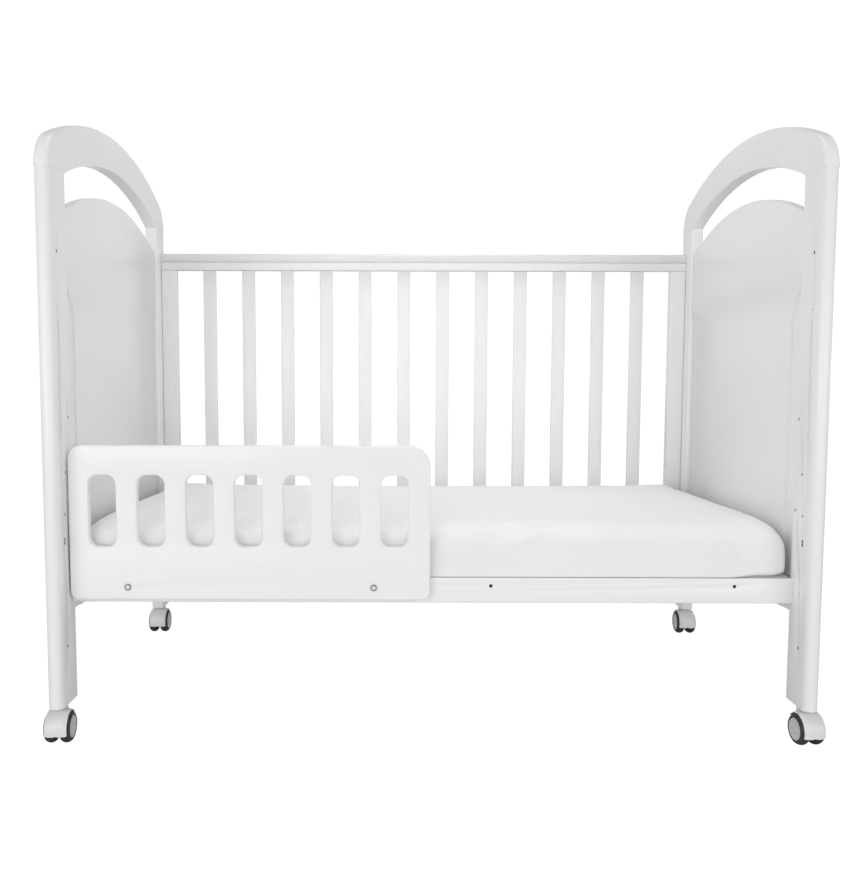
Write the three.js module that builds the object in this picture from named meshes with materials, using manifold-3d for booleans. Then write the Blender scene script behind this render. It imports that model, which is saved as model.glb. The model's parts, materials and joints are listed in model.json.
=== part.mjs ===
// A white wooden cot set up as a toddler bed: two solid ends with hand holes, a slatted rear side,
// an open front with a short slotted guard rail, a slatted base with a mattress, and four
// twin-wheel casters. Millimetres, +Z up, +X along the bed, front at -Y. The origin is on the
// floor, under the middle of the whole bed's box.
import * as THREE from 'three';
import { mergeVertices } from 'three/addons/utils/BufferGeometryUtils.js';
import Module from 'manifold-3d';

const wasm = await Module();
wasm.setup();

// ---- driving dimensions -------------------------------------------------------------------------

const GAP = 0.3; // clearance between pieces that touch on the real bed

// Ends. Depths (y) inside the bed group are measured from the front of the posts.
const INNER_LENGTH = 1310; // between the two ends' inner faces
const END_DEPTH = 790; // front of the front posts to rear of the rear posts
const POST_THICKNESS = 28;
const POST_WIDTH = 80;
const POST_BOTTOM = 66;
const POST_TOP = 1012; // seam between a post and the crest rail
const POST_EDGE_RADIUS = 4;
const CREST_TOP = 1147;
const CREST_EDGE_RADIUS = 8;
const CREST_CROWN_RADIUS = 906;
const CREST_SHOULDER_RADIUS = 76;
const CREST_UNDERSIDE_SIDE = 1012.8;
const CREST_UNDERSIDE_MIDDLE = 1074;
const PANEL_THICKNESS = 20;
const PANEL_BOTTOM = 224;
const PANEL_TOP_SIDE = 947;
const PANEL_TOP_MIDDLE = 1014;
const CHANNEL_WIDTH = 44; // shallow relief beside each post, in the panel's inner face
const CHANNEL_DEPTH = 5;
const CHANNEL_TOP = 812;
const CHANNEL_SHOULDER = 60;

// Base frame and mattress.
const RAIL_FRONT = 62; // depth of the front base rail's face
const RAIL_THICKNESS = 22;
const RAIL_BOTTOM = 245.5;
const RAIL_TOP = 291.5;
const BASE_SLAT_COUNT = 6;
const BASE_SLAT_WIDTH = 90;
const BASE_SLAT_THICKNESS = 12;
const REBATE_WIDTH = 10; // ledge in the long rails that carries the slats
const MATTRESS_LENGTH = 1296;
const MATTRESS_FRONT = 65;
const MATTRESS_REAR = 746;
const MATTRESS_TOP_FRONT = 398.5;
const MATTRESS_TOP_REAR = 381;
const MATTRESS_EDGE_RADIUS = 24;

// Slatted rear side.
const REAR_SIDE_FRONT = 748; // depth of the rear side's face
const REAR_SIDE_THICKNESS = 24;
const REAR_SIDE_RAIL_BOTTOM = 914;
const REAR_SIDE_CAP_BOTTOM = 933.5;
const REAR_SIDE_TOP = 955;
const REAR_CAP_SHADOW_GROOVE = 2.5;
const STILE_WIDTH = 37.5;
const SLAT_COUNT = 12;
const SLAT_WIDTH = 32;
const SLAT_THICKNESS = 12;
const SLAT_PITCH = 97.4;

// Guard rail and its bolts.
const GUARD_LEFT = -652;
const GUARD_RIGHT = -5;
const GUARD_THICKNESS = 17;
const GUARD_BOTTOM = 254;
const GUARD_TOP = 532.5;
const GUARD_EDGE_RADIUS = 3;
const GUARD_CORNERS = { bottomLeft: 15, bottomRight: 15, topRight: 38, topLeft: 25 };
const GUARD_SLOT_COUNT = 7;
const GUARD_SLOT_WIDTH = 49;
const GUARD_SLOT_PITCH = 87.2;
const GUARD_SLOT_FIRST = -592;
const GUARD_SLOT_BOTTOM = 350;
const GUARD_SLOT_TOP = 479.5;
const GUARD_SLOT_CORNER = 17;
const BOLT_HEIGHT = 277;
const BOLT_PLACES = [-548, -106];
const FREE_HOLE_PLACES = [106, 548];
const BOLT_DIAMETER = 6;
const BOLT_HEAD_DIAMETER = 12;
const BOLT_HEAD_HEIGHT = 3;
const BOLT_SOCKET_DIAMETER = 5;
const BOLT_SOCKET_DEPTH = 1.8;

// Casters.
const WHEEL_DIAMETER = 56;
const WHEEL_WIDTH = 20;
const WHEEL_OFFSET = 13.6; // a wheel's middle from the caster's middle plane
const HUB_DIAMETER = 40;
const HUB_INSET = 1;
const CASTER_TRAIL = 17; // the axle ahead of the stem
const AXLE_DIAMETER = 6;
const HOOD_RADIUS = 32;
const HOOD_INNER_RADIUS = 29;
const HOOD_SHOULDER_DROP = 3.5;
const HOOD_WIDTH = 36.8;
const WEB_THICKNESS = 6;
const COLLAR_DIAMETER = 19;
const STEM_DIAMETER = 8;
const STEM_BOTTOM = 50;
const STEM_TOP = 104;
// How far the front casters are turned at rest, seen from above, anticlockwise.
const FRONT_LEFT_SWIVEL = THREE.MathUtils.degToRad(2);
const FRONT_RIGHT_SWIVEL = THREE.MathUtils.degToRad(6);

// ---- places worked out from them ----------------------------------------------------------------

const HALF_INNER = INNER_LENGTH / 2;
const MID_DEPTH = END_DEPTH / 2;
const STEM_DEPTH = POST_WIDTH / 2;
const REAR_STEM_DEPTH = END_DEPTH - STEM_DEPTH;
const WHEEL_RADIUS = WHEEL_DIAMETER / 2;
const GUARD_FRONT = RAIL_FRONT - GUARD_THICKNESS;
const REAR_RAIL_FRONT = REAR_SIDE_FRONT - RAIL_THICKNESS - 1;

// ---- materials ----------------------------------------------------------------------------------

const paint = () => new THREE.MeshStandardMaterial({ color: 0xf2f2f1, roughness: 0.35, metalness: 0 });
const capPlastic = () => new THREE.MeshStandardMaterial({ color: 0xf0f0ef, roughness: 0.3, metalness: 0 });
const hoodPlastic = () => new THREE.MeshStandardMaterial({ color: 0xe2e2e2, roughness: 0.35, metalness: 0 });
const tyreRubber = () => new THREE.MeshStandardMaterial({ color: 0x2b2b2c, roughness: 0.6, metalness: 0 });
const steel = () => new THREE.MeshStandardMaterial({ color: 0xb9bbbe, roughness: 0.3, metalness: 1 });
const cotton = () => new THREE.MeshStandardMaterial({ color: 0xf4f4f4, roughness: 0.9, metalness: 0 });

// ---- geometry helpers ---------------------------------------------------------------------------

// A geometry reduced to merged positions, without collapsed triangles and with its faces out.
function closedGeometry(geometry) {
  const bare = geometry.clone();
  bare.deleteAttribute('normal');
  bare.deleteAttribute('uv');
  const merged = mergeVertices(bare, 1e-4);
  const source = merged.index.array;
  const at = merged.attributes.position;
  const index = [];
  let volume = 0;
  const [a, b, c] = [new THREE.Vector3(), new THREE.Vector3(), new THREE.Vector3()];
  for (let i = 0; i < source.length; i += 3) {
    const [p, q, r] = [source[i], source[i + 1], source[i + 2]];
    if (p === q || q === r || r === p) continue;
    index.push(p, q, r);
    a.fromBufferAttribute(at, p);
    b.fromBufferAttribute(at, q);
    c.fromBufferAttribute(at, r);
    volume += a.dot(b.cross(c));
  }
  if (volume < 0) index.reverse();
  merged.setIndex(index);
  return merged;
}

function toSolid(geometry) {
  const closed = closedGeometry(geometry);
  const vertProperties = new Float32Array(closed.attributes.position.array);
  const triVerts = new Uint32Array(closed.index.array);
  return new wasm.Manifold(new wasm.Mesh({ numProp: 3, vertProperties, triVerts }));
}

function fromSolid(solid) {
  const mesh = solid.getMesh();
  const geometry = new THREE.BufferGeometry();
  const stride = mesh.numProp;
  const positions = new Float32Array((mesh.vertProperties.length / stride) * 3);
  for (let i = 0; i < positions.length / 3; i += 1) {
    for (let k = 0; k < 3; k += 1) positions[3 * i + k] = mesh.vertProperties[stride * i + k];
  }
  geometry.setAttribute('position', new THREE.BufferAttribute(positions, 3));
  geometry.setIndex(Array.from(mesh.triVerts));
  geometry.computeVertexNormals();
  return geometry;
}

function cut(geometry, tools) {
  let solid = toSolid(geometry);
  for (const tool of tools) solid = solid.subtract(toSolid(tool));
  return fromSolid(solid);
}

// A box between two corners.
function block(x0, x1, y0, y1, z0, z1) {
  const geometry = new THREE.BoxGeometry(x1 - x0, y1 - y0, z1 - z0);
  return geometry.translate((x0 + x1) / 2, (y0 + y1) / 2, (z0 + z1) / 2);
}

// A rectangle with its own radius at each corner.
function roundedRectangle(x0, x1, y0, y1, corner) {
  const { bottomLeft, bottomRight, topRight, topLeft } = corner;
  const shape = new THREE.Shape();
  shape.moveTo(x0 + bottomLeft, y0);
  shape.lineTo(x1 - bottomRight, y0);
  shape.absarc(x1 - bottomRight, y0 + bottomRight, bottomRight, -Math.PI / 2, 0);
  shape.lineTo(x1, y1 - topRight);
  shape.absarc(x1 - topRight, y1 - topRight, topRight, 0, Math.PI / 2);
  shape.lineTo(x0 + topLeft, y1);
  shape.absarc(x0 + topLeft, y1 - topLeft, topLeft, Math.PI / 2, Math.PI);
  shape.lineTo(x0, y0 + bottomLeft);
  shape.absarc(x0 + bottomLeft, y0 + bottomLeft, bottomLeft, Math.PI, 1.5 * Math.PI);
  return shape;
}

const evenCorners = (r) => ({ bottomLeft: r, bottomRight: r, topRight: r, topLeft: r });

// Extrudes an outline drawn in (x, y) upward from z0 to z1.
function extrudeUp(shape, z0, z1, curveSegments = 3) {
  const geometry = new THREE.ExtrudeGeometry(shape, { depth: z1 - z0, bevelEnabled: false, curveSegments });
  return geometry.translate(0, 0, z0);
}

// Extrudes an outline drawn in (depth, height) along x, from x0 to x1.
function extrudeAlong(shape, x0, x1, options = {}) {
  const settings = { depth: x1 - x0, bevelEnabled: false, curveSegments: 3, ...options };
  const geometry = new THREE.ExtrudeGeometry(shape, settings);
  geometry.rotateX(Math.PI / 2);
  geometry.rotateZ(Math.PI / 2);
  return geometry.translate(x0, 0, 0);
}

// A pin or a hole along x.
function pinAlongX(radius, x0, x1, y, z, sides = 16) {
  const geometry = new THREE.CylinderGeometry(radius, radius, x1 - x0, sides);
  return geometry.rotateZ(Math.PI / 2).translate((x0 + x1) / 2, y, z);
}

// A pin or a hole along y.
function pinAlongY(radius, x, y0, y1, z, sides = 16) {
  const geometry = new THREE.CylinderGeometry(radius, radius, y1 - y0, sides);
  return geometry.translate(x, (y0 + y1) / 2, z);
}

// A pin or a hole along z.
function pinAlongZ(radius, x, y, z0, z1, sides = 16) {
  const geometry = new THREE.CylinderGeometry(radius, radius, z1 - z0, sides);
  return geometry.rotateX(Math.PI / 2).translate(x, y, (z0 + z1) / 2);
}

function add(parent, name, geometry, material) {
  const mesh = new THREE.Mesh(closedGeometry(geometry), material);
  mesh.geometry.computeVertexNormals();
  mesh.name = name;
  parent.add(mesh);
  return mesh;
}

// ---- ends ---------------------------------------------------------------------------------------

// Sockets for the drop side's hardware in a front post's inner face:
// depth from the post's front, height of the lowest and highest point, diameter.
const POST_SOCKETS = [
  { depth: 30, low: 868, high: 875, width: 7 },
  { depth: 29, low: 772, high: 776, width: 4 },
  { depth: 30, low: 546, high: 754, width: 5 },
  { depth: 67, low: 578, high: 584, width: 6 },
  { depth: 46, low: 481, high: 487, width: 6 },
  { depth: 68, low: 414, high: 420, width: 6 },
  { depth: 37, low: 407, high: 413, width: 6 },
  { depth: 34, low: 355, high: 369, width: 7 },
  { depth: 39, low: 210, high: 274, width: 5 },
  { depth: 35, low: 168, high: 175, width: 7 },
];
const REAR_POST_SOCKETS = [{ depth: 67, low: 578, high: 584, width: 6 }];
const SOCKET_DEPTH = 9;

// A round or long blind hole, cut in from the face at x = 0 towards both sides of it.
function socketTool({ depth, low, high, width }, x, postFront, facing) {
  const r = width / 2;
  const y = facing > 0 ? postFront + depth : postFront + POST_WIDTH - depth;
  if (high - low <= width) return pinAlongX(r, x - SOCKET_DEPTH, x + SOCKET_DEPTH, y, (low + high) / 2, 8);
  const shape = roundedRectangle(y - r, y + r, low, high, evenCorners(r));
  return extrudeAlong(shape, x - SOCKET_DEPTH, x + SOCKET_DEPTH, { curveSegments: 1 });
}

// A post's plan: a full round nose on the outer edge and eased corners on the inner one.
// facing is 1 for a front post and -1 for a rear post.
function postOutline(x0, postFront, facing) {
  const nose = POST_THICKNESS / 2;
  const e = POST_EDGE_RADIUS;
  const middle = x0 + nose;
  const x1 = x0 + POST_THICKNESS;
  const noseEdge = facing > 0 ? postFront + nose : postFront + POST_WIDTH - nose;
  const innerEdge = facing > 0 ? postFront + POST_WIDTH : postFront;
  const shape = new THREE.Shape();
  if (facing > 0) {
    shape.absarc(middle, noseEdge, nose, Math.PI, 2 * Math.PI);
    shape.absarc(x1 - e, innerEdge - e, e, 0, Math.PI / 2);
    shape.absarc(x0 + e, innerEdge - e, e, Math.PI / 2, Math.PI);
  } else {
    shape.absarc(middle, noseEdge, nose, 0, Math.PI);
    shape.absarc(x0 + e, innerEdge + e, e, Math.PI, 1.5 * Math.PI);
    shape.absarc(x1 - e, innerEdge + e, e, 1.5 * Math.PI, 2 * Math.PI);
  }
  return shape;
}

function post(x0, postFront, facing, innerFace, sockets) {
  const body = extrudeUp(postOutline(x0, postFront, facing), POST_BOTTOM, POST_TOP, 4);
  const stemX = x0 + POST_THICKNESS / 2;
  const stemY = postFront + POST_WIDTH / 2;
  const tools = [pinAlongZ(STEM_DIAMETER / 2 + GAP, stemX, stemY, POST_BOTTOM - 5, STEM_TOP + 1, 12)];
  for (const socket of sockets) tools.push(socketTool(socket, innerFace, postFront, facing));
  return cut(body, tools);
}

// The arc of a given rise over the space between the posts, as points from front to rear.
function archPoints(sideHeight, middleHeight, inset, steps) {
  const half = MID_DEPTH - POST_WIDTH - inset;
  const rise = middleHeight - sideHeight;
  const radius = (half * half + rise * rise) / (2 * rise);
  const points = [];
  for (let i = 0; i <= steps; i += 1) {
    const across = -half + (2 * half * i) / steps;
    const height = middleHeight - radius + Math.sqrt(radius * radius - across * across);
    points.push(new THREE.Vector2(MID_DEPTH + across, height));
  }
  return points;
}

// Points on an arc in (depth, height), both ends among them.
function arcPoints(depth, height, radius, start, stop, steps) {
  const points = [];
  for (let i = 0; i <= steps; i += 1) {
    const turn = start + ((stop - start) * i) / steps;
    points.push(new THREE.Vector2(depth + radius * Math.cos(turn), height + radius * Math.sin(turn)));
  }
  return points;
}

// The crest rail's outer outline in (depth, height): a flat crown arc with a tighter arc at each
// shoulder, running into straight feet that are cut off at the seam.
function crestOutline() {
  const shoulder = CREST_SHOULDER_RADIUS;
  const crownHeight = CREST_TOP - CREST_CROWN_RADIUS;
  const across = MID_DEPTH - shoulder;
  const shoulderHeight = crownHeight + Math.sqrt((CREST_CROWN_RADIUS - shoulder) ** 2 - across ** 2);
  const meeting = Math.atan2(shoulderHeight - crownHeight, across);
  const foot = POST_TOP - 20;
  return new THREE.Shape([
    new THREE.Vector2(0, foot),
    ...arcPoints(shoulder, shoulderHeight, shoulder, Math.PI, Math.PI - meeting, 6),
    ...arcPoints(MID_DEPTH, crownHeight, CREST_CROWN_RADIUS, Math.PI - meeting, meeting, 16).slice(1, -1),
    ...arcPoints(END_DEPTH - shoulder, shoulderHeight, shoulder, meeting, 0, 6),
    new THREE.Vector2(END_DEPTH, foot),
  ]);
}

// The hand hole's outline in (depth, height), under the crest rail's arched underside.
function handHoleOutline() {
  const shape = new THREE.Shape();
  shape.moveTo(POST_WIDTH, POST_TOP - 50);
  shape.lineTo(END_DEPTH - POST_WIDTH, POST_TOP - 50);
  for (const point of archPoints(CREST_UNDERSIDE_SIDE, CREST_UNDERSIDE_MIDDLE, 0, 20).reverse()) {
    shape.lineTo(point.x, point.y);
  }
  return shape;
}

function crestRail(x0) {
  const bevel = CREST_EDGE_RADIUS;
  const x1 = x0 + POST_THICKNESS;
  const rounding = { bevelEnabled: true, bevelThickness: bevel, bevelSize: bevel, bevelOffset: -bevel };
  const options = { ...rounding, bevelSegments: 2, curveSegments: 12 };
  const rail = extrudeAlong(crestOutline(), x0 + bevel, x1 - bevel, options);
  const below = block(x0 - 10, x1 + 10, -10, END_DEPTH + 10, POST_TOP - 60, POST_TOP + GAP);
  const hole = extrudeAlong(handHoleOutline(), x0 - 10, x1 + 10);
  return cut(rail, [below, hole]);
}

// The panel's outline in (depth, height) between the posts.
function panelOutline() {
  const shape = new THREE.Shape();
  shape.moveTo(POST_WIDTH + GAP, PANEL_BOTTOM);
  shape.lineTo(END_DEPTH - POST_WIDTH - GAP, PANEL_BOTTOM);
  for (const point of archPoints(PANEL_TOP_SIDE, PANEL_TOP_MIDDLE, GAP, 20).reverse()) {
    shape.lineTo(point.x, point.y);
  }
  return shape;
}

// The relief beside a post: straight sided, with a quarter-ellipse shoulder at its top.
function channelOutline(postEdge, direction) {
  const shape = new THREE.Shape();
  const outer = postEdge - direction * 2;
  const inner = postEdge + direction * CHANNEL_WIDTH;
  shape.moveTo(outer, PANEL_BOTTOM - 5);
  shape.lineTo(inner, PANEL_BOTTOM - 5);
  const steps = 8;
  for (let i = 0; i <= steps; i += 1) {
    const turn = (Math.PI / 2) * (i / steps);
    const across = inner - direction * CHANNEL_WIDTH * (1 - Math.cos(turn));
    shape.lineTo(across, CHANNEL_TOP - CHANNEL_SHOULDER + CHANNEL_SHOULDER * Math.sin(turn));
  }
  shape.lineTo(outer, CHANNEL_TOP);
  return shape;
}

function endPanel(side) {
  const centre = side * (HALF_INNER + POST_THICKNESS / 2);
  const x0 = centre - PANEL_THICKNESS / 2;
  const x1 = centre + PANEL_THICKNESS / 2;
  const innerFace = side > 0 ? x0 : x1;
  const bevel = 3;
  const rounding = { bevelEnabled: true, bevelThickness: bevel, bevelSize: bevel, bevelOffset: -bevel };
  const rounded = extrudeAlong(panelOutline(), x0 + bevel, x1 - bevel, { ...rounding, bevelSegments: 2 });
  const reach = [innerFace - CHANNEL_DEPTH, innerFace + CHANNEL_DEPTH];
  const channels = [
    extrudeAlong(channelOutline(POST_WIDTH, 1), ...reach),
    extrudeAlong(channelOutline(END_DEPTH - POST_WIDTH, -1), ...reach),
  ];
  return cut(rounded, channels);
}

function addEnd(parent, side, label) {
  const x0 = side > 0 ? HALF_INNER : -HALF_INNER - POST_THICKNESS;
  const innerFace = side * HALF_INNER;
  const rearFront = END_DEPTH - POST_WIDTH;
  add(parent, `${label}_front_post`, post(x0, 0, 1, innerFace, POST_SOCKETS), paint());
  add(parent, `${label}_rear_post`, post(x0, rearFront, -1, innerFace, REAR_POST_SOCKETS), paint());
  add(parent, `${label}_crest_rail`, crestRail(x0), paint());
  add(parent, `${label}_end_panel`, endPanel(side), paint());
}

// ---- rear side ----------------------------------------------------------------------------------

// A wooden upright with eased edges.
function upright(x, width, y0, y1, z0, z1, ease) {
  const outline = roundedRectangle(x - width / 2, x + width / 2, y0, y1, evenCorners(ease));
  return extrudeUp(outline, z0, z1, 2);
}

// A horizontal member along x with eased edges.
function beam(x0, x1, y0, y1, z0, z1, ease) {
  return extrudeAlong(roundedRectangle(y0, y1, z0, z1, evenCorners(ease)), x0, x1);
}

// The cap strip: a rounded top and a small shadow groove where its front meets the rail.
function capOutline(front, rear, low, high) {
  const r = 6;
  const g = REAR_CAP_SHADOW_GROOVE;
  const shape = new THREE.Shape();
  shape.moveTo(front + g, low);
  shape.lineTo(rear, low);
  shape.lineTo(rear, high - r);
  shape.absarc(rear - r, high - r, r, 0, Math.PI / 2);
  shape.lineTo(front + r, high);
  shape.absarc(front + r, high - r, r, Math.PI / 2, Math.PI);
  shape.lineTo(front, low + g);
  shape.lineTo(front + g, low + g);
  return shape;
}

function addRearSide(parent) {
  const front = REAR_SIDE_FRONT;
  const rear = front + REAR_SIDE_THICKNESS;
  const end = HALF_INNER - GAP;
  const cap = capOutline(front, rear, REAR_SIDE_CAP_BOTTOM, REAR_SIDE_TOP);
  const railTop = REAR_SIDE_CAP_BOTTOM - GAP;
  add(parent, 'rear_side_cap', extrudeAlong(cap, -end, end), capPlastic());
  const topRail = beam(-end, end, front, rear, REAR_SIDE_RAIL_BOTTOM, railTop, 2);
  add(parent, 'rear_side_top_rail', topRail, paint());
  const uprightTop = REAR_SIDE_RAIL_BOTTOM - GAP;
  const bottomEnd = end - STILE_WIDTH - GAP;
  const bottomRail = beam(-bottomEnd, bottomEnd, front, rear, RAIL_BOTTOM, RAIL_TOP, 3);
  add(parent, 'rear_side_bottom_rail', bottomRail, paint());
  for (const [side, label] of [[-1, 'left'], [1, 'right']]) {
    const x = side * (end - STILE_WIDTH / 2);
    const stile = upright(x, STILE_WIDTH, front, rear, RAIL_BOTTOM, uprightTop, 3);
    add(parent, `rear_side_${label}_stile`, stile, paint());
  }
  const slatFront = front + (REAR_SIDE_THICKNESS - SLAT_THICKNESS) / 2;
  for (let i = 0; i < SLAT_COUNT; i += 1) {
    const x = (i - (SLAT_COUNT - 1) / 2) * SLAT_PITCH;
    const slat = upright(x, SLAT_WIDTH, slatFront, slatFront + SLAT_THICKNESS, RAIL_TOP + GAP, uprightTop, 3);
    add(parent, `rear_slat_${String(i + 1).padStart(2, '0')}`, slat, paint());
  }
}

// ---- base ---------------------------------------------------------------------------------------

// A long base rail in (depth, height), with a ledge on its inner side that carries the slats.
// inward is 1 where the inside of the bed is towards the rear.
function ledgedRail(y0, inward) {
  const outer = inward > 0 ? y0 : y0 + RAIL_THICKNESS;
  const inner = inward > 0 ? y0 + RAIL_THICKNESS : y0;
  const ledge = inner - inward * REBATE_WIDTH;
  const ledgeHeight = RAIL_TOP - BASE_SLAT_THICKNESS - GAP;
  const e = 2;
  const shape = new THREE.Shape();
  shape.moveTo(outer + inward * e, RAIL_BOTTOM);
  shape.lineTo(inner, RAIL_BOTTOM);
  shape.lineTo(inner, ledgeHeight);
  shape.lineTo(ledge, ledgeHeight);
  shape.lineTo(ledge, RAIL_TOP);
  shape.lineTo(outer + inward * e, RAIL_TOP);
  shape.lineTo(outer, RAIL_TOP - e);
  shape.lineTo(outer, RAIL_BOTTOM + e);
  return extrudeAlong(shape, -HALF_INNER + GAP, HALF_INNER - GAP);
}

function addBase(parent) {
  const holes = [...BOLT_PLACES, ...FREE_HOLE_PLACES].map((x) =>
    pinAlongY(BOLT_DIAMETER / 2 + GAP, x, RAIL_FRONT - 5, RAIL_FRONT + RAIL_THICKNESS + 5, BOLT_HEIGHT),
  );
  add(parent, 'front_base_rail', cut(ledgedRail(RAIL_FRONT, 1), holes), paint());
  add(parent, 'rear_base_rail', ledgedRail(REAR_RAIL_FRONT, -1), paint());
  const near = RAIL_FRONT + RAIL_THICKNESS + GAP;
  const far = REAR_RAIL_FRONT - GAP;
  for (const [side, label] of [[-1, 'left'], [1, 'right']]) {
    const outer = side * (HALF_INNER - GAP);
    const inner = side * (HALF_INNER - GAP - RAIL_THICKNESS);
    const [x0, x1] = [Math.min(outer, inner), Math.max(outer, inner)];
    add(parent, `${label}_base_rail`, block(x0, x1, near, far, RAIL_BOTTOM, RAIL_TOP - 1), paint());
  }
  const slatNear = RAIL_FRONT + RAIL_THICKNESS - REBATE_WIDTH + GAP;
  const slatFar = REAR_RAIL_FRONT + REBATE_WIDTH - GAP;
  const span = 2 * (HALF_INNER - RAIL_THICKNESS - GAP);
  const slatBottom = RAIL_TOP - BASE_SLAT_THICKNESS;
  for (let i = 0; i < BASE_SLAT_COUNT; i += 1) {
    const x = -span / 2 + (span * (i + 0.5)) / BASE_SLAT_COUNT;
    const half = BASE_SLAT_WIDTH / 2;
    const slat = block(x - half, x + half, slatNear, slatFar, slatBottom, RAIL_TOP - GAP);
    add(parent, `base_slat_${i + 1}`, slat, paint());
  }
}

// The mattress in its fitted sheet: soft-cornered, and a little lower along its rear edge.
function addMattress(parent) {
  const r = MATTRESS_EDGE_RADIUS;
  const low = RAIL_TOP + GAP;
  const shape = new THREE.Shape();
  shape.absarc(MATTRESS_FRONT + r, low + r, r, Math.PI, 1.5 * Math.PI);
  shape.absarc(MATTRESS_REAR - r, low + r, r, 1.5 * Math.PI, 2 * Math.PI);
  shape.absarc(MATTRESS_REAR - r, MATTRESS_TOP_REAR - r, r, 0, Math.PI / 2);
  shape.absarc(MATTRESS_FRONT + r, MATTRESS_TOP_FRONT - r, r, Math.PI / 2, Math.PI);
  const half = MATTRESS_LENGTH / 2;
  add(parent, 'mattress', extrudeAlong(shape, -half, half), cotton());
}

// ---- guard rail ---------------------------------------------------------------------------------

function guardOutline() {
  const shape = roundedRectangle(GUARD_LEFT, GUARD_RIGHT, GUARD_BOTTOM, GUARD_TOP, GUARD_CORNERS);
  for (let i = 0; i < GUARD_SLOT_COUNT; i += 1) {
    const x = GUARD_SLOT_FIRST + i * GUARD_SLOT_PITCH;
    const half = GUARD_SLOT_WIDTH / 2;
    const corners = evenCorners(GUARD_SLOT_CORNER);
    shape.holes.push(roundedRectangle(x - half, x + half, GUARD_SLOT_BOTTOM, GUARD_SLOT_TOP, corners));
  }
  return shape;
}

function guardRail() {
  const bevel = GUARD_EDGE_RADIUS;
  const geometry = new THREE.ExtrudeGeometry(guardOutline(), {
    depth: GUARD_THICKNESS - GAP - 2 * bevel,
    bevelEnabled: true,
    bevelThickness: bevel,
    bevelSize: bevel,
    bevelOffset: -bevel,
    bevelSegments: 1,
    curveSegments: 3,
  });
  geometry.translate(0, 0, bevel);
  geometry.rotateX(Math.PI / 2);
  geometry.translate(0, GUARD_FRONT + GUARD_THICKNESS - GAP, 0);
  const holes = BOLT_PLACES.map((x) =>
    pinAlongY(BOLT_DIAMETER / 2 + GAP, x, GUARD_FRONT - 5, GUARD_FRONT + GUARD_THICKNESS + 5, BOLT_HEIGHT),
  );
  return cut(geometry, holes);
}

// A button-head bolt along y with a hexagon socket in its head.
function guardBolt(x) {
  const headFront = GUARD_FRONT - GAP - BOLT_HEAD_HEIGHT;
  const tip = RAIL_FRONT + RAIL_THICKNESS - REBATE_WIDTH - 1;
  const headRadius = BOLT_HEAD_DIAMETER / 2;
  const profile = [
    new THREE.Vector2(0, tip),
    new THREE.Vector2(BOLT_DIAMETER / 2, tip),
    new THREE.Vector2(BOLT_DIAMETER / 2, headFront + BOLT_HEAD_HEIGHT),
    new THREE.Vector2(headRadius, headFront + BOLT_HEAD_HEIGHT),
    new THREE.Vector2(headRadius, headFront + BOLT_HEAD_HEIGHT * 0.6),
    new THREE.Vector2(headRadius * 0.8, headFront + BOLT_HEAD_HEIGHT * 0.15),
    new THREE.Vector2(headRadius * 0.6, headFront),
    new THREE.Vector2(0, headFront),
  ];
  const body = new THREE.LatheGeometry(profile, 20).translate(x, 0, BOLT_HEIGHT);
  const socket = pinAlongY(BOLT_SOCKET_DIAMETER / 2, x, headFront - 2, headFront + BOLT_SOCKET_DEPTH, BOLT_HEIGHT, 6);
  return cut(body, [socket]);
}

function addGuard(parent) {
  add(parent, 'guard_rail', guardRail(), paint());
  BOLT_PLACES.forEach((x, i) => add(parent, `guard_bolt_${i + 1}`, guardBolt(x), steel()));
}

// ---- casters ------------------------------------------------------------------------------------

// One wheel about the x axis, its closed outer side towards +x, middle at x = 0.
function wheel(outward) {
  const half = WHEEL_WIDTH / 2;
  const hub = HUB_DIAMETER / 2;
  const bore = AXLE_DIAMETER / 2 + GAP;
  const profile = [
    new THREE.Vector2(0, half - HUB_INSET),
    new THREE.Vector2(hub, half - HUB_INSET),
    new THREE.Vector2(hub + 1, half),
    new THREE.Vector2(WHEEL_RADIUS - 4, half - 1.5),
    new THREE.Vector2(WHEEL_RADIUS - 1, half - 5),
    new THREE.Vector2(WHEEL_RADIUS, 0),
    new THREE.Vector2(WHEEL_RADIUS - 1, 5 - half),
    new THREE.Vector2(WHEEL_RADIUS - 4, 1.5 - half),
    new THREE.Vector2(WHEEL_RADIUS - 7, -half),
    new THREE.Vector2(bore, -half),
    new THREE.Vector2(bore, half - 5),
    new THREE.Vector2(0, half - 5),
  ];
  const geometry = new THREE.LatheGeometry(profile, 20);
  return geometry.rotateZ(-outward * (Math.PI / 2));
}

// The part of the hood's ring that is kept, in (depth, height) about the axle: from low in front,
// over the top, to above the middle behind.
function hoodSector() {
  const reach = 60;
  const frontLow = THREE.MathUtils.degToRad(-16);
  const rearHigh = THREE.MathUtils.degToRad(30);
  const shape = new THREE.Shape();
  shape.moveTo(0, 0);
  shape.lineTo(-reach * Math.cos(frontLow), reach * Math.sin(frontLow));
  shape.lineTo(-reach, reach);
  shape.lineTo(reach, reach);
  shape.lineTo(reach * Math.cos(rearHigh), reach * Math.sin(rearHigh));
  return shape;
}

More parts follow.
